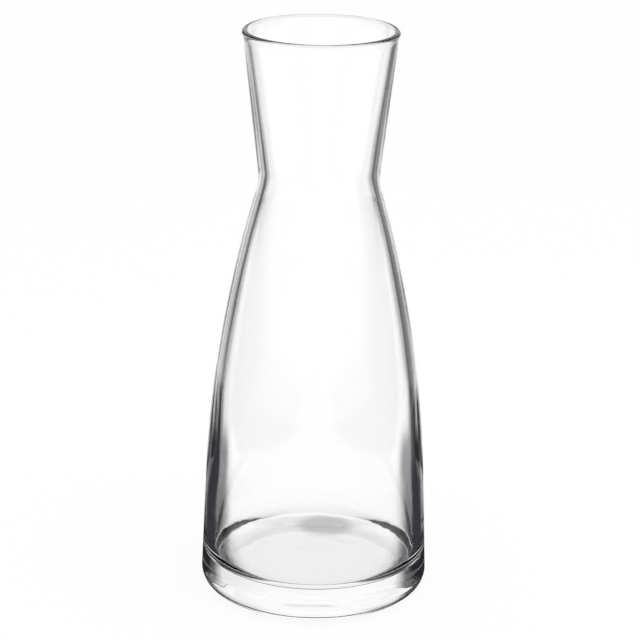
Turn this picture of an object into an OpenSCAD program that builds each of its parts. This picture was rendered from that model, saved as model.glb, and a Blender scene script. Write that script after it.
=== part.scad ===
// Open glass carafe for the table: one blown body of clear glass with a heavy
// foot, a long shoulder, a pinched waist and a flared mouth. Z is the axis of
// the body, and the foot stands on the plane Z = 0.

/* [Heights] */
// Table to the top of the rim
height = 270; // [245:1:320]
// Table to the crease of the waist
waist_height = 199.5; // [185:0.5:220]
// Table to the crossing of the side's line and the shoulder's
shoulder_height = 124; // [105:0.5:140]

/* [Outer diameters] */
// Foot, above its rounded edge
foot_d = 108; // [100:0.5:120]
// Crossing of the side's line and the shoulder's
shoulder_d = 98.5; // [90:0.5:104]
// Crease of the waist
waist_d = 55.2; // [46:0.2:66]
// Mouth, without the bead of the lip
mouth_d = 71; // [62:0.2:82]

/* [Curves of the side] */
// Rounded edge under the foot
foot_edge_r = 7.5; // [3:0.5:10]
// Length over which the side bends into the shoulder
shoulder_bend = 138; // [60:1:140]
// Length over which the waist's crease is softened
waist_bend = 12; // [2:0.5:16]
// How far the lip's bead stands out
lip_bead = 0.4; // [0.2:0.1:1.2]
// Length over which the bead swells
lip_length = 3; // [1.5:0.5:8]

/* [Glass] */
// Wall at the rim
rim_wall = 2.6; // [1.8:0.1:3.8]
// Wall at the waist
waist_wall = 3.9; // [2.6:0.1:5]
// Wall at the middle of the body
side_wall = 4.1; // [2.4:0.1:5]
// Wall beside the floor
foot_wall = 5.4; // [4.4:0.1:8]
// Table to where the thick wall begins to thin
foot_wall_top = 52; // [36:1:70]
// Table to where the thin wall is reached
side_wall_bottom = 106; // [85:1:125]
// Table to the low ring of the inside floor
floor_thick = 14.5; // [10:0.5:18]

/* [Floor] */
// Rounded corner between the floor and the wall, inside
corner_r = 7; // [2:0.2:12]
// Rise of the inside floor at its middle
floor_rise = 0.2; // [0.2:0.1:3]
// Diameter of the raised middle
floor_rise_d = 50; // [30:1:60]
// Depth of the hollow under the foot
punt_depth = 0.3; // [0.2:0.1:3]
// Width of the flat ring round the hollow, on which the foot stands
foot_ring = 5.5; // [3:0.5:14]

/* [Hidden] */
$fn = 180;
side_steps = 48;
crease_steps = 8;
neck_steps = 8;
lip_steps = 6;
arc_steps = 12;
floor_steps = 12;
glass = [0.86, 0.92, 0.94, 0.45];

foot_r = foot_d / 2;
shoulder_r = shoulder_d / 2;
waist_r = waist_d / 2;
mouth_r = mouth_d / 2;
punt_r = foot_r - foot_edge_r - foot_ring;
rim_r = (rim_wall + lip_bead) / 2;
rim_height = height - rim_r;
waist_low = waist_height - waist_bend / 2;
waist_high = waist_height + waist_bend / 2;
lip_low = rim_height - lip_length;
corner_top = floor_thick + corner_r;

// Slopes of the three straight lines that the side follows
side_slope = (shoulder_r - foot_r) / (shoulder_height - foot_edge_r);
shoulder_slope = (waist_r - shoulder_r) / (waist_height - shoulder_height);
neck_slope = (mouth_r - waist_r) / (rim_height - waist_height);

// The shoulder's bend stays between the foot's edge and the waist's crease
shoulder_room = 2 * min(shoulder_height - foot_edge_r, waist_low - shoulder_height);
bend_length = min(shoulder_bend, shoulder_room);

// Heights and walls between which the glass changes its thickness
wall_rows = [
    [foot_wall_top, foot_wall],
    [side_wall_bottom, side_wall],
    [waist_height, waist_wall],
    [rim_height, rim_wall]
];

function ease(t) = let (u = max(0, min(1, t))) u * u * (3 - 2 * u);

// Heights from a to b in n steps, without b
function steps(a, b, n) = [for (i = [0:n - 1]) a + (b - a) * i / n];

// Zero before a corner and t after it, rounded over the given length
function bend(t, length) =
    t <= -length / 2 ? 0 :
    t >= length / 2 ? t :
    pow(t + length / 2, 2) / (2 * length);

function outer_r(z) =
    foot_r + side_slope * (z - foot_edge_r)
    + (shoulder_slope - side_slope) * bend(z - shoulder_height, bend_length)
    + (neck_slope - shoulder_slope) * bend(z - waist_height, waist_bend)
    + lip_bead * ease((z - lip_low) / lip_length);

// Each row pair adds its own change of wall
function wall_step(z, low, high) =
    (high[1] - low[1]) * ease((z - low[0]) / (high[0] - low[0]));

function wall(z) =
    wall_rows[0][1]
    + wall_step(z, wall_rows[0], wall_rows[1])
    + wall_step(z, wall_rows[1], wall_rows[2])
    + wall_step(z, wall_rows[2], wall_rows[3]);

function inner_r(z) =
    outer_r(z) - wall(z) - lip_bead * ease((z - lip_low) / lip_length);

// Points on an arc about [x, z], from one angle to another
function arc(x, z, r, from, to) =
    [for (i = [0:arc_steps]) let (a = from + (to - from) * i / arc_steps)
        [x + r * cos(a), z + r * sin(a)]];

underside = [for (i = [0:floor_steps - 1]) let (t = i / floor_steps)
    [punt_r * t, punt_depth * (1 - t * t)]];

foot_edge = concat([[punt_r, 0]],
    arc(foot_r - foot_edge_r, foot_edge_r, foot_edge_r, -90, 0));

outer_heights = concat(
    steps(foot_edge_r, waist_low, side_steps),
    steps(waist_low, waist_high, crease_steps),
    steps(waist_high, lip_low, neck_steps),
    steps(lip_low, rim_height, lip_steps));

outer_side = [for (i = [1:len(outer_heights) - 1])
    [outer_r(outer_heights[i]), outer_heights[i]]];

rim = arc(outer_r(rim_height) - rim_r, rim_height, rim_r, 0, 180);

inner_heights = concat(
    steps(rim_height, lip_low, lip_steps),
    steps(lip_low, waist_high, neck_steps),
    steps(waist_high, waist_low, crease_steps),
    steps(waist_low, corner_top, side_steps));

inner_side = [for (i = [1:len(inner_heights) - 1])
    [inner_r(inner_heights[i]), inner_heights[i]]];

inner_corner = arc(inner_r(corner_top) - corner_r, corner_top, corner_r, 0, -90);

floor_top = [for (i = [floor_steps:-1:0]) let (t = i / floor_steps)
    [floor_rise_d / 2 * t, floor_thick + floor_rise * pow(1 - t * t, 2)]];

module glass_body()
{
    color(glass)
    rotate_extrude()
    polygon(concat(underside, foot_edge, outer_side, rim, inner_side, inner_corner, floor_top));
}

glass_body();
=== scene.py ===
# %% [markdown]
# # A glass carafe for the table
#
# The object is one body of clear glass: a heavy round foot, a long shoulder,
# a pinched waist and a flared open mouth. There is no handle, lid or stopper,
# so the whole lesson is about one turned shape and about how glass shows
# itself: only by what it bends and mirrors. A clear body on a white ground is
# drawn by the dark things that stand beside it, out of the picture.

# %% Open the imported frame
import math
import bmesh
import bpy
from mathutils import Matrix, Vector


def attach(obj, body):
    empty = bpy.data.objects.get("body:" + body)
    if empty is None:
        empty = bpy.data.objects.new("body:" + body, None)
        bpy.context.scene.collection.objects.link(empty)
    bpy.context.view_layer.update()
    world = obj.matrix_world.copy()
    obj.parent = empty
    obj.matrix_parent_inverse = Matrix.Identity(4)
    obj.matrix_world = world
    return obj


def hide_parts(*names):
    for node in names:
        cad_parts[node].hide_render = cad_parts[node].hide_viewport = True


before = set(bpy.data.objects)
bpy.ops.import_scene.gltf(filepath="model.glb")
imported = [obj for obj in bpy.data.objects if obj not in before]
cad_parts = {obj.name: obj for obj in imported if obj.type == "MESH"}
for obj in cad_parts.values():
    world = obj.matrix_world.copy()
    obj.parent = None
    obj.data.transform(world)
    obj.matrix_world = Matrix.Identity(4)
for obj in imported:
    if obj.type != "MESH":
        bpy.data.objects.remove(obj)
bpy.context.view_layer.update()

MM = 1000  # millimetres in a metre
bpy.context.scene.view_settings.view_transform = "Standard"

# %% [markdown]
# ## The half section
#
# A potter, a turner and a maker of glass moulds all think of such a body as
# half a section turned about an axis. The sizes below are the real ones in
# millimetres, the same as in the solid model. The outside follows three
# straight lines (side, shoulder, neck) that melt into each other. The inside
# is the outside less a wall that changes with the height: thick beside the
# floor, and thinner towards the rim.

# %% Sizes of the glass, in millimetres
height, waist_height, shoulder_height = 270, 199.5, 124
foot_r, shoulder_r, waist_r, mouth_r = 54, 49.25, 27.6, 35.5
foot_edge_r, shoulder_bend, waist_bend = 7.5, 138, 12
lip_bead, lip_length, rim_wall = 0.4, 3, 2.6
floor_thick, corner_r = 14.5, 7
floor_rise, floor_rise_r = 0.2, 25
punt_depth, punt_r = 0.3, 41
walls = [(52, 5.4), (106, 4.1), (waist_height, 3.9)]

rim_r = (rim_wall + lip_bead) / 2
rim_height = height - rim_r
walls.append((rim_height, rim_wall))
lip_low = rim_height - lip_length
waist_low = waist_height - waist_bend / 2
corner_top = floor_thick + corner_r
bend_length = min(shoulder_bend, 2 * (shoulder_height - foot_edge_r), 2 * (waist_low - shoulder_height))
print("the floor is", floor_thick, "mm thick, and the wall beside it", walls[0][1], "mm")

# %% [markdown]
# ## Three lines that melt into each other
#
# Each straight line has a slope. Where one line hands over to the next, the
# change of slope is spread over a length: a long one for the shoulder, which
# reads as one soft curve, and a short one for the waist, which reads as a
# crease. The wall goes from one height to the next by an S-shaped step, as
# flowing glass has no corners.

# %% Rules of the outside and the inside
side_slope = (shoulder_r - foot_r) / (shoulder_height - foot_edge_r)
shoulder_slope = (waist_r - shoulder_r) / (waist_height - shoulder_height)
neck_slope = (mouth_r - waist_r) / (rim_height - waist_height)


def ease(t):
    u = max(0.0, min(1.0, t))
    return u * u * (3 - 2 * u)


def bend(t, length):
    if t <= -length / 2:
        return 0.0
    return t if t >= length / 2 else (t + length / 2) ** 2 / (2 * length)


def lip_swell(z):
    return lip_bead * ease((z - lip_low) / lip_length)


def outside(z):
    radius = foot_r + side_slope * (z - foot_edge_r)
    radius += (shoulder_slope - side_slope) * bend(z - shoulder_height, bend_length)
    radius += (neck_slope - shoulder_slope) * bend(z - waist_height, waist_bend)
    return radius + lip_swell(z)


def wall(z):
    steps = zip(walls[:-1], walls[1:])
    return walls[0][1] + sum((b[1] - a[1]) * ease((z - a[0]) / (b[0] - a[0])) for a, b in steps)


def inside(z):
    return outside(z) - wall(z) - lip_swell(z)


waist_across = [round(2 * side(waist_height), 1) for side in (outside, inside)]
print("across the waist, outside and inside:", waist_across, "mm")

# %% [markdown]
# ## Walking round the section
#
# The section is walked once, from the middle of the underside round the foot,
# up the outside, over the rim, down the inside and back to the axis on the
# floor. Points lie closer where the line bends, because glass shows every
# corner twice: as an edge, and as a jump in what is seen through it.

# %% Points of the half section
SIDE_POINTS, CREASE_POINTS, NECK_POINTS, LIP_POINTS = 46, 18, 14, 7
UNDERSIDE_POINTS, FLOOR_POINTS, ARC_POINTS = 10, 12, 12
CREASE_MARGIN = 3
crease_low = waist_low - CREASE_MARGIN
crease_high = waist_low + waist_bend + CREASE_MARGIN


def spread(a, b, n):
    return [a + (b - a) * i / n for i in range(n)]


def arc(x, z, r, start, stop):
    turns = [math.radians(start + (stop - start) * i / ARC_POINTS) for i in range(ARC_POINTS + 1)]
    return [(x + r * math.cos(t), z + r * math.sin(t)) for t in turns]


def along(marks, counts):
    heights = [z for a, b, n in zip(marks[:-1], marks[1:], counts) for z in spread(a, b, n)]
    return heights[1:]


way_up = along([foot_edge_r, crease_low, crease_high, lip_low, rim_height],
               [SIDE_POINTS, CREASE_POINTS, NECK_POINTS, LIP_POINTS])
way_down = along([rim_height, lip_low, crease_high, crease_low, corner_top],
                 [LIP_POINTS, NECK_POINTS, CREASE_POINTS, SIDE_POINTS])

section = [(punt_r * t, punt_depth * (1 - t * t)) for t in spread(0, 1, UNDERSIDE_POINTS)]
section += [(punt_r, 0.0)] + arc(foot_r - foot_edge_r, foot_edge_r, foot_edge_r, -90, 0)
section += [(outside(z), z) for z in way_up]
section += arc(outside(rim_height) - rim_r, rim_height, rim_r, 0, 180)
section += [(inside(z), z) for z in way_down]
section += arc(inside(corner_top) - corner_r, corner_top, corner_r, 0, -90)
section += [(floor_rise_r * t, floor_thick + floor_rise * (1 - t * t) ** 2)
            for t in spread(1, 0, FLOOR_POINTS)]
section += [(0.0, floor_thick + floor_rise)]
print(len(section), "points in the half section")

# %% [markdown]
# ## Turning the body
#
# The chain of points is one open line of edges, and the spin operator turns
# it about the axis. With use_merge the last step is joined to the first. The
# two points on the axis are left as a heap of doubles, which are merged, and
# only then are the normals made to point outwards. The real body was made in
# one go, so it is one mesh here, and it takes the place of the solid.

# %% Spin the glass
TURNS = 168
SAME_PLACE = 1e-6
body = bmesh.new()
chain = [body.verts.new((r / MM, 0.0, z / MM)) for r, z in section]
edges = [body.edges.new(pair) for pair in zip(chain[:-1], chain[1:])]
bmesh.ops.spin(body, geom=chain + edges, axis=(0, 0, 1), cent=(0, 0, 0), angle=2 * math.pi,
               steps=TURNS, use_merge=True, use_duplicate=False)
bmesh.ops.remove_doubles(body, verts=body.verts, dist=SAME_PLACE)
bmesh.ops.recalc_face_normals(body, faces=body.faces)
for face in body.faces:
    face.smooth = True
glass_mesh = bpy.data.meshes.new("carafe_glass")
body.to_mesh(glass_mesh)
body.free()
glass = bpy.data.objects.new("carafe_glass", glass_mesh)
bpy.context.scene.collection.objects.link(glass)
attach(glass, "root")
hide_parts("glass_body")
print("the glass has", len(glass_mesh.polygons), "faces")

# %% [markdown]
# ## The glass itself
#
# Plain soda-lime glass bends light by 1.5 and takes almost nothing from it.
# The Principled shader makes it with full transmission and no roughness. All
# patterns below are laid on Object coordinates, which are metres on the piece
# itself, so the scale of a wave is its real one.

# %% Shader of the clear glass
BENDS_LIGHT_BY = 1.5
finish = bpy.data.materials.new("clear_glass")
finish.use_nodes = True
tree = finish.node_tree
shader = tree.nodes["Principled BSDF"]
shader.inputs["Roughness"].default_value = 0.0
shader.inputs["IOR"].default_value = BENDS_LIGHT_BY
shader.inputs["Transmission Weight"].default_value = 1.0
on_glass = tree.nodes.new("ShaderNodeTexCoord").outputs["Object"]
parts = tree.nodes.new("ShaderNodeSeparateXYZ")
tree.links.new(on_glass, parts.inputs["Vector"])
glass_height = parts.outputs["Z"]


def by_height(low, high, below, above):
    step = tree.nodes.new("ShaderNodeMapRange")
    step.interpolation_type = "SMOOTHSTEP"
    for name, number in zip(("From Min", "From Max", "To Min", "To Max"), (low, high, below, above)):
        step.inputs[name].default_value = number
    tree.links.new(glass_height, step.inputs["Value"])
    return step.outputs["Result"]


def two_into_one(operation, first, second):
    node = tree.nodes.new("ShaderNodeMath")
    node.operation = operation
    tree.links.new(first, node.inputs[0])
    tree.links.new(second, node.inputs[1])
    return node.outputs[0]


glass_mesh.materials.append(finish)
print("glass bends light by", BENDS_LIGHT_BY)

# %% [markdown]
# ## Waves of a poured and pressed surface
#
# What tells real glass from a perfect drawing is that its faces are never
# quite even. The side carries faint long waves that ran with the flow of the
# glass, the foot has shorter ones that lie across, and the floor shows soft
# rings, as a pressing tool leaves them. All three are far too weak to be seen
# as bumps: a tenth of a millimetre over a wave of some 20 mm leans the
# surface by about one part in a hundred. That is enough for the lines at the
# edges to swell and thin as they do on the real one. Two stretched noises and
# one ring texture are added up, the foot's and the floor's kept to their
# place by the height, and one Bump node turns the sum into the lean.

# %% Long waves of the side, short ones of the foot, rings of the floor
WAVE_DEPTH = 0.00012


def waves(across, up, detail):
    stretch = tree.nodes.new("ShaderNodeMapping")
    stretch.inputs["Scale"].default_value = (across, across, up)
    tree.links.new(on_glass, stretch.inputs["Vector"])
    noise = tree.nodes.new("ShaderNodeTexNoise")
    noise.inputs["Scale"].default_value = 1.0
    noise.inputs["Detail"].default_value = detail
    tree.links.new(stretch.outputs["Vector"], noise.inputs["Vector"])
    return noise.outputs["Fac"]


def tool_rings(scale, wobble):
    rings = tree.nodes.new("ShaderNodeTexWave")
    rings.wave_type = "RINGS"
    rings.rings_direction = "Z"
    rings.inputs["Scale"].default_value = scale
    rings.inputs["Distortion"].default_value = wobble
    rings.inputs["Detail"].default_value = 1.0
    rings.inputs["Detail Scale"].default_value = 0.6
    tree.links.new(on_glass, rings.inputs["Vector"])
    return rings.outputs["Fac"]


side_waves = waves(55, 14, 1.0)
foot_waves = two_into_one("MULTIPLY", waves(28, 110, 2.0), by_height(0.02, 0.07, 0.9, 0.12))
floor_rings = two_into_one("MULTIPLY", tool_rings(22.0, 3.0), by_height(0.016, 0.022, 0.6, 0.0))
lean = tree.nodes.new("ShaderNodeBump")
lean.inputs["Strength"].default_value = 1.0
lean.inputs["Distance"].default_value = WAVE_DEPTH
all_waves = two_into_one("ADD", two_into_one("ADD", side_waves, foot_waves), floor_rings)
tree.links.new(all_waves, lean.inputs["Height"])
tree.links.new(lean.outputs["Normal"], shader.inputs["Normal"])
print("the waves are", round(MM * WAVE_DEPTH, 2), "mm deep at most, each kind by its share")

# %% [markdown]
# ## Tint of the foot, and a painted reflection on the lip
#
# Clear glass is a little warm where it is thick, and the foot is the only
# thick place: its base colour is a shade below white, and the thin wall above
# it is plain white. The half-round of the lip was melted smooth in the flame,
# and gathers dark things from all sides into one thin grey line. The tones
# painted further below reach only a part of it, so the base colour of the
# last millimetre is painted greyer: a painted reflection that stands in for the rest of that line.

# %% Colour by height, with a painted reflection on the lip
# The grey of the lip is a painted reflection of dark surroundings, not a tint of the glass
thick_foot, thin_wall, grey_painted_reflection = (0.992, 0.99, 0.985, 1), (1.0, 1.0, 1.0, 1), (0.8, 0.8, 0.81, 1)


def colour_mix(share):
    mix = tree.nodes.new("ShaderNodeMix")
    mix.data_type = "RGBA"
    tree.links.new(share, mix.inputs["Factor"])
    return mix


foot_tint = colour_mix(by_height(0.004, 0.05, 0.0, 1.0))
foot_tint.inputs["A"].default_value = thick_foot
foot_tint.inputs["B"].default_value = thin_wall
# Painted reflection: the last millimetre of the rim gets a grey base colour in place of the dark line it
# mirrors
lip_painted_reflection = colour_mix(by_height(0.2684, 0.2692, 0.0, 1.0))
lip_painted_reflection.inputs["B"].default_value = grey_painted_reflection
tree.links.new(foot_tint.outputs["Result"], lip_painted_reflection.inputs["A"])
tree.links.new(lip_painted_reflection.outputs["Result"], shader.inputs["Base Color"])
print("the foot lets through", thick_foot[:3], "and the lip", grey_painted_reflection[:3])

# %% [markdown]
# ## The camera
#
# The picture was taken from a little above, with a long lens, and the camera
# was held almost level. Its place is worked out from the photograph: how open
# the ring of the mouth is, beside the curve of the foot, gives the angle and
# the distance together, and the slight lean of the axis gives the roll. The
# lens has the width in pixels that the body needs, and the aim is set off so
# that the middle of the body falls where it lies in the picture.

# %% Place the camera
DISTANCE, PITCH, ROLL = 1.1005, math.radians(18.6), math.radians(0.85)
FOCAL, AXIS_X, AXIS_Y, PICTURE = 2350, 317.1, 313.4, 640
middle = Vector((0, 0, height / 2 / MM))
eye = middle + DISTANCE * Vector((0, -math.cos(PITCH), math.sin(PITCH)))
level = Vector((1, 0, 0))
upright = level.cross(Vector((0, math.cos(PITCH), -math.sin(PITCH))))
right = level * math.cos(ROLL) + upright * math.sin(ROLL)
top = upright * math.cos(ROLL) - level * math.sin(ROLL)
pixel = DISTANCE / FOCAL
aim = middle + right * (PICTURE / 2 - AXIS_X) * pixel - top * (PICTURE / 2 - AXIS_Y) * pixel
forward = (aim - eye).normalized()
right = (right - forward * right.dot(forward)).normalized()
top = right.cross(forward)
lens = bpy.data.cameras.new("camera")
lens.sensor_width = 36
lens.lens = FOCAL / PICTURE * lens.sensor_width
lens.clip_start, lens.clip_end = 0.05, 60
camera = bpy.data.objects.new("camera", lens)
camera.matrix_world = Matrix.Translation(eye) @ Matrix((right, top, -forward)).transposed().to_4x4()
bpy.context.scene.collection.objects.link(camera)
bpy.context.scene.camera = camera
print("the lens is", round(lens.lens, 1), "mm long, and the camera", DISTANCE, "m away")

# %% [markdown]
# ## The table
#
# The ground is pure white. The table is a pale sheet that the eye, a mirror
# and a lens all see as the same white: a camera ray, a glossy ray and a
# transmission ray find it near strength 1. A small part of it stays an
# ordinary matt surface, so it keeps the faint shadow of the foot. It lies a
# hair below the foot, as two faces in one plane would flicker.

# %% Table
WHITE_SHARE = 0.92


def seen_by_eye_or_glass(tree):
    path = tree.nodes.new("ShaderNodeLightPath")
    seen = path.outputs["Is Camera Ray"]
    for ray in ("Is Glossy Ray", "Is Transmission Ray"):
        either = tree.nodes.new("ShaderNodeMath")
        either.operation = "MAXIMUM"
        tree.links.new(seen, either.inputs[0])
        tree.links.new(path.outputs[ray], either.inputs[1])
        seen = either.outputs[0]
    return seen


def stage_piece(name, shape, material):
    mesh = bpy.data.meshes.new(name)
    shape.to_mesh(mesh)
    shape.free()
    mesh.materials.append(material)
    piece = bpy.data.objects.new(name, mesh)
    bpy.context.scene.collection.objects.link(piece)
    return piece


table_white = bpy.data.materials.new("table_white")
table_white.use_nodes = True
tree = table_white.node_tree
tree.nodes.clear()
matt = tree.nodes.new("ShaderNodeBsdfDiffuse")
matt.inputs["Color"].default_value = (0.92, 0.92, 0.92, 1)
glow = tree.nodes.new("ShaderNodeEmission")
share = tree.nodes.new("ShaderNodeMath")
share.operation = "MULTIPLY"
share.inputs[1].default_value = WHITE_SHARE
tree.links.new(seen_by_eye_or_glass(tree), share.inputs[0])
blend = tree.nodes.new("ShaderNodeMixShader")
tree.links.new(share.outputs[0], blend.inputs["Fac"])
tree.links.new(matt.outputs[0], blend.inputs[1])
tree.links.new(glow.outputs[0], blend.inputs[2])
out = tree.nodes.new("ShaderNodeOutputMaterial")
tree.links.new(blend.outputs[0], out.inputs["Surface"])

sheet = bmesh.new()
bmesh.ops.create_grid(sheet, x_segments=1, y_segments=1, size=6.0)
bmesh.ops.translate(sheet, verts=sheet.verts, vec=(0, 0, -0.0004))
table = stage_piece("table", sheet, table_white)
print("the table is", round(table.dimensions.x, 1), "m wide")

# %% [markdown]
# ## Room light and lamp
#
# The room gives an even, plain light from all sides, a little weaker than the
# white that the eye sees behind the carafe. One large soft lamp hangs above
# it. It lights the matt part of the table, and is hidden from the glass, as
# its mirror image would be a hard white patch that the real one doesn't have.

# %% Room light
ROOM_LIGHT, ROOM_SEEN = 0.8, 1.0
room = bpy.data.worlds.new("room")
bpy.context.scene.world = room
room.use_nodes = True
tree = room.node_tree
plain = tree.nodes["Background"]
plain.inputs["Color"].default_value = (1, 1, 1, 1)
lift = tree.nodes.new("ShaderNodeMapRange")
lift.inputs["To Min"].default_value = ROOM_LIGHT
lift.inputs["To Max"].default_value = ROOM_SEEN
tree.links.new(seen_by_eye_or_glass(tree), lift.inputs["Value"])
tree.links.new(lift.outputs["Result"], plain.inputs["Strength"])
print("the room lights with", ROOM_LIGHT, "and is seen as", ROOM_SEEN)

# %% Soft lamp overhead
lamp_data = bpy.data.lights.new("softbox", "AREA")
lamp_data.shape = "RECTANGLE"
lamp_data.size, lamp_data.size_y = 1.6, 1.2
lamp_data.energy = 20
lamp = bpy.data.objects.new("softbox", lamp_data)
lamp.location = (0.3, -0.4, 2.2)
lamp.rotation_euler = (math.radians(-10), math.radians(8), 0)
lamp.visible_glossy = False
lamp.visible_transmission = False
bpy.context.scene.collection.objects.link(lamp)
print("the lamp is", round(lamp_data.size, 1), "m wide and gives", round(lamp_data.energy), "W")

# %% [markdown]
# ## What the glass sees
#
# Against a white ground clear glass would vanish. A glass photographer keeps
# the paper behind it white only as far as the picture needs, and sets dark
# cards and cloth to the left and right of it, just out of the picture. The
# edges of the body bend the view so far sideways that they show those dark
# things, and that draws the outline. So the tones round the carafe matter
# more than its own material. They are painted here on a sheet that lies on
# the table and on a dome over it, both seen by glass alone. Everything is
# carried by a stand that turns towards the camera, as the photographer would
# carry the cards round for a picture from another side.

# %% Stand that turns with the camera
stand = bpy.data.objects.new("turning_stand", None)
bpy.context.scene.collection.objects.link(stand)
follow = stand.constraints.new("LOCKED_TRACK")
follow.target = camera
follow.track_axis = "TRACK_NEGATIVE_Y"
follow.lock_axis = "LOCK_Z"


def for_glass_only(piece):
    piece.visible_camera = piece.visible_diffuse = piece.visible_shadow = False
    piece.parent = stand
    print(piece.name, "is seen by glass alone")


# %% [markdown]
# ## Where a point lies, as angles
#
# Each tone belongs to an angle from straight behind the carafe, 0 to 180
# degrees on each side. The sheet and the dome both need that angle, so it is
# a node group, built once. It takes how far its centre is set towards the
# camera, and puts out the angle (0 to 1 for one full turn, 0.5 straight
# behind), the distance from the centre, and how far back and how high the
# point lies.

# %% Node group: angle from behind
bearing = bpy.data.node_groups.new("bearing", "ShaderNodeTree")
bearing.interface.new_socket("Centre Forward", in_out="INPUT", socket_type="NodeSocketFloat")
for name in ("Angle", "Distance", "Back", "Up"):
    bearing.interface.new_socket(name, in_out="OUTPUT", socket_type="NodeSocketFloat")
given, wanted = bearing.nodes.new("NodeGroupInput"), bearing.nodes.new("NodeGroupOutput")
where = bearing.nodes.new("ShaderNodeTexCoord").outputs["Object"]
move = bearing.nodes.new("ShaderNodeCombineXYZ")
bearing.links.new(given.outputs["Centre Forward"], move.inputs["Y"])
moved = bearing.nodes.new("ShaderNodeVectorMath")
moved.operation = "ADD"
bearing.links.new(where, moved.inputs[0])
bearing.links.new(move.outputs["Vector"], moved.inputs[1])
length = bearing.nodes.new("ShaderNodeVectorMath")
length.operation = "LENGTH"
bearing.links.new(moved.outputs["Vector"], length.inputs[0])
from_centre = bearing.nodes.new("ShaderNodeSeparateXYZ")
bearing.links.new(moved.outputs["Vector"], from_centre.inputs["Vector"])
turn = bearing.nodes.new("ShaderNodeMath")
turn.operation = "ARCTAN2"
bearing.links.new(from_centre.outputs["X"], turn.inputs[0])
bearing.links.new(from_centre.outputs["Y"], turn.inputs[1])
full_turn = bearing.nodes.new("ShaderNodeMapRange")
full_turn.inputs["From Min"].default_value = -math.pi
full_turn.inputs["From Max"].default_value = math.pi
bearing.links.new(turn.outputs[0], full_turn.inputs["Value"])
on_stand = bearing.nodes.new("ShaderNodeSeparateXYZ")
bearing.links.new(where, on_stand.inputs["Vector"])
bearing.links.new(full_turn.outputs["Result"], wanted.inputs["Angle"])
bearing.links.new(length.outputs["Value"], wanted.inputs["Distance"])
bearing.links.new(on_stand.outputs["Y"], wanted.inputs["Back"])
bearing.links.new(on_stand.outputs["Z"], wanted.inputs["Up"])
print("the group", bearing.name, "puts out", [item.name for item in wanted.inputs if item.name])

# %% [markdown]
# ## Painting with tones
#
# A tone is given as it looks on the screen, 0 black to 1 white, and turned
# into the strength of light that looks so. Dark tones are a little blue, as
# the dark cloth beside the real one is. A row of tones is one colour ramp
# over the angle. Two rows are faded into each other over a distance or a
# height.

# %% Helpers for the painted paper
BLUE_OF_DARK = 0.3


def tone(level):
    plain = level / 12.92 if level < 0.04 else ((level + 0.055) / 1.055) ** 2.4
    return (plain, plain, plain * (1 + BLUE_OF_DARK * max(0.0, 1 - 2 * level)), 1)


def painted_paper(name, centre_forward):
    material = bpy.data.materials.new(name)
    material.use_nodes = True
    tree = material.node_tree
    tree.nodes.clear()
    glow = tree.nodes.new("ShaderNodeEmission")
    out = tree.nodes.new("ShaderNodeOutputMaterial")
    tree.links.new(glow.outputs[0], out.inputs["Surface"])
    place = tree.nodes.new("ShaderNodeGroup")
    place.node_tree = bearing
    place.inputs["Centre Forward"].default_value = centre_forward
    return material, tree, glow.inputs["Color"], place.outputs


def tones(tree, angle, stops):
    ramp = tree.nodes.new("ShaderNodeValToRGB")
    tree.links.new(angle, ramp.inputs["Fac"])
    marks = ramp.color_ramp.elements
    while len(marks) < len(stops):
        marks.new(0.5)
    for mark, (degrees, level) in zip(marks, stops):
        mark.position = degrees / 360 + 0.5
        mark.color = tone(level)
    return ramp.outputs["Color"]


def fade(tree, value, start, stop, first, second):
    step = tree.nodes.new("ShaderNodeMapRange")
    step.interpolation_type = "SMOOTHSTEP"
    step.inputs["From Min"].default_value = start
    step.inputs["From Max"].default_value = stop
    tree.links.new(value, step.inputs["Value"])
    mix = tree.nodes.new("ShaderNodeMix")
    mix.data_type = "RGBA"
    tree.links.new(step.outputs["Result"], mix.inputs["Factor"])
    tree.links.new(first, mix.inputs["A"])
    tree.links.new(second, mix.inputs["B"])
    return mix.outputs["Result"]


print("a mid tone of 0.5 is", round(tone(0.5)[0], 3), "of full light")

# %% [markdown]
# ## The sheet on the table
#
# Most of what the lower body shows is the table behind it, so the sheet has
# three rows of tones: near, middle and far. Straight behind, between about 15
# degrees on each side, it is white, which gives the clear middle of the body.
# Beside that it drops to dark, which gives the bands along the sides, and
# further round it is white again. The part in front of the carafe is plain
# white. Its centre lies in front of the body, where the bent rays of both
# sides would meet.

# %% Tones of the sheet
near_tones = [(-180, 1), (-54, 1), (-46, 0.22), (-19, 0.22), (-18, 0.3), (-17, 0.6), (-15.5, 0.92),
              (-14, 1), (14, 1), (15.5, 0.92), (17, 0.6), (18, 0.3), (19, 0.22), (38, 0.22), (46, 0.6),
              (54, 1), (180, 1)]
middle_tones = [(-180, 1), (-66, 1), (-54, 0.7), (-46, 0.2), (-32, 0.2), (-27, 0.64), (-23, 0.2), (-20, 1),
                (20, 1), (23, 0.55), (27, 0.2), (38, 0.2), (46, 0.95), (54, 1), (180, 1)]
far_tones = [(-180, 1), (-66, 1), (-54, 0.89), (-46, 0.24), (-38, 0.19), (-32, 0.73), (-27, 0.88),
             (-23, 0.62), (-17, 1), (14, 1), (17, 0.94), (20, 0.76), (23, 0.45), (32, 0.52), (38, 0.23),
             (46, 0.71), (54, 1), (180, 1)]
MEETING_PLACE = 0.137
NEAR_TO_MIDDLE, MIDDLE_TO_FAR, FRONT_TO_BACK = (0.29, 0.34), (0.42, 0.52), (-0.08, -0.04)

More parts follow.
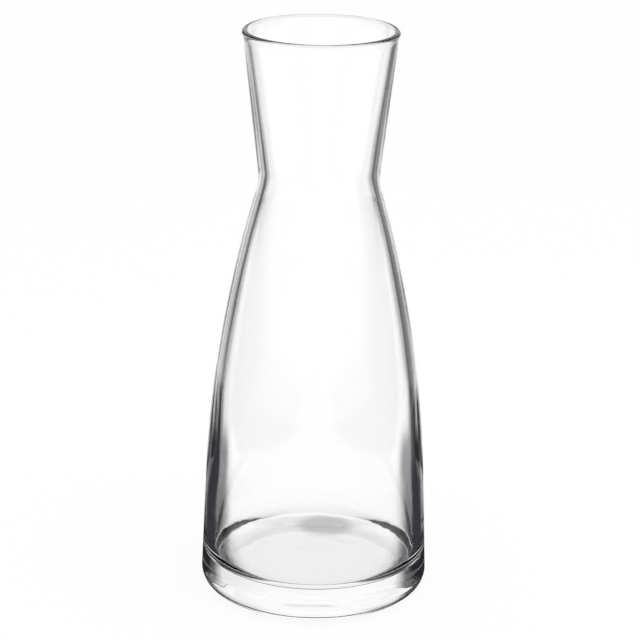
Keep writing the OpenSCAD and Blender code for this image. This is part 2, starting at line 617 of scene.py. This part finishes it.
sheet_paper, tree, sheet_colour, place = painted_paper("sheet_paper", MEETING_PLACE)
near, middle_row, far = (tones(tree, place["Angle"], row) for row in (near_tones, middle_tones, far_tones))
painted = fade(tree, place["Distance"], *NEAR_TO_MIDDLE, near, middle_row)
painted = fade(tree, place["Distance"], *MIDDLE_TO_FAR, painted, far)
white = tree.nodes.new("ShaderNodeRGB")
white.outputs["Color"].default_value = (1, 1, 1, 1)
painted = fade(tree, place["Back"], *FRONT_TO_BACK, white.outputs["Color"], painted)
print(len(near_tones) + len(middle_tones) + len(far_tones), "tones on the sheet")

# %% [markdown]
# ## The shade under the foot
#
# Little light gets under a foot that stands on the table. Three soft ovals of
# shade lie there: one under the whole foot, and two towards its back edge,
# which make the soft grey arc that shows in the floor. Each dims the painted
# sheet, by a Mapping node that makes the oval a circle of radius 1.

# %% Ovals of shade, and the finished sheet
# Each oval: place to the right and back, half its width and depth, all in mm, and the light left in it
shades_under_foot = [(0, 0, 62, 62, 0.84), (6, 42, 18, 16, 0.6), (0, 46, 45, 9, 0.85)]
HARD_CORE = 0.5


def shade(tree, colour, x, y, half_x, half_y, light_left):
    oval = tree.nodes.new("ShaderNodeMapping")
    oval.vector_type = "TEXTURE"
    oval.inputs["Location"].default_value = (x / MM, y / MM, 0)
    oval.inputs["Scale"].default_value = (half_x / MM, half_y / MM, 1)
    tree.links.new(tree.nodes.new("ShaderNodeTexCoord").outputs["Object"], oval.inputs["Vector"])
    reach = tree.nodes.new("ShaderNodeVectorMath")
    reach.operation = "LENGTH"
    tree.links.new(oval.outputs["Vector"], reach.inputs[0])
    soft = tree.nodes.new("ShaderNodeMapRange")
    soft.interpolation_type = "SMOOTHSTEP"
    soft.inputs["From Min"].default_value = HARD_CORE
    soft.inputs["To Min"].default_value = light_left
    tree.links.new(reach.outputs["Value"], soft.inputs["Value"])
    dim = tree.nodes.new("ShaderNodeVectorMath")
    dim.operation = "SCALE"
    tree.links.new(colour, dim.inputs[0])
    tree.links.new(soft.outputs["Result"], dim.inputs["Scale"])
    return dim.outputs["Vector"]


for oval in shades_under_foot:
    painted = shade(tree, painted, *oval)
tree.links.new(painted, sheet_colour)
disc = bmesh.new()
bmesh.ops.create_circle(disc, cap_ends=True, radius=5.0, segments=64)
bmesh.ops.translate(disc, verts=disc.verts, vec=(0, 0, -0.0002))
for_glass_only(stage_piece("sheet_for_glass", disc, sheet_paper))

# %% [markdown]
# ## The dome over the table
#
# The upper body looks over the table into the room. The dome has four rows of
# tones, one above the other. The lowest is white behind the carafe and dark
# beside it. The next is dark at the sides only. The third is pale, with a
# little grey towards the camera, and the top is dark except in front, so that
# the round of the lip has something to mirror.

# %% Tones of the dome
low_tones = [(-180, 1), (-80, 1), (-62, 0.15), (-45, 0.15), (-36, 0.5), (-25, 0.53), (-21, 0.73), (-17, 0.94),
             (-13, 1), (17, 1), (21, 0.86), (30, 0.83), (36, 0.72), (45, 0.15), (60, 0.15), (75, 0.85),
             (90, 1), (180, 1)]
side_tones = [(-180, 1), (-130, 1), (-105, 0.15), (-55, 0.15), (-45, 0.4), (-35, 1), (45, 0.95), (55, 0.46),
              (65, 0.15), (105, 0.15), (130, 1), (180, 1)]
high_tones = [(-180, 0.5), (-90, 0.6), (-60, 0.9), (-45, 1), (60, 1), (90, 0.95), (180, 0.5)]
top_tones = [(-180, 0.7), (-140, 0.15), (100, 0.15), (130, 0.5), (180, 0.7)]
DOME = 5.0
CHANGES_OF_ROW = [(11, 17), (33, 39), (52, 58)]

dome_paper, tree, dome_colour, place = painted_paper("dome_paper", 0.0)
rows = (low_tones, side_tones, high_tones, top_tones)
painted, *upper_rows = (tones(tree, place["Angle"], row) for row in rows)
for degrees, row in zip(CHANGES_OF_ROW, upper_rows):
    start, stop = (DOME * math.sin(math.radians(d)) for d in degrees)
    painted = fade(tree, place["Up"], start, stop, painted, row)
tree.links.new(painted, dome_colour)
dome = bmesh.new()
bmesh.ops.create_uvsphere(dome, u_segments=64, v_segments=32, radius=DOME)
for_glass_only(stage_piece("dome_for_glass", dome, dome_paper))
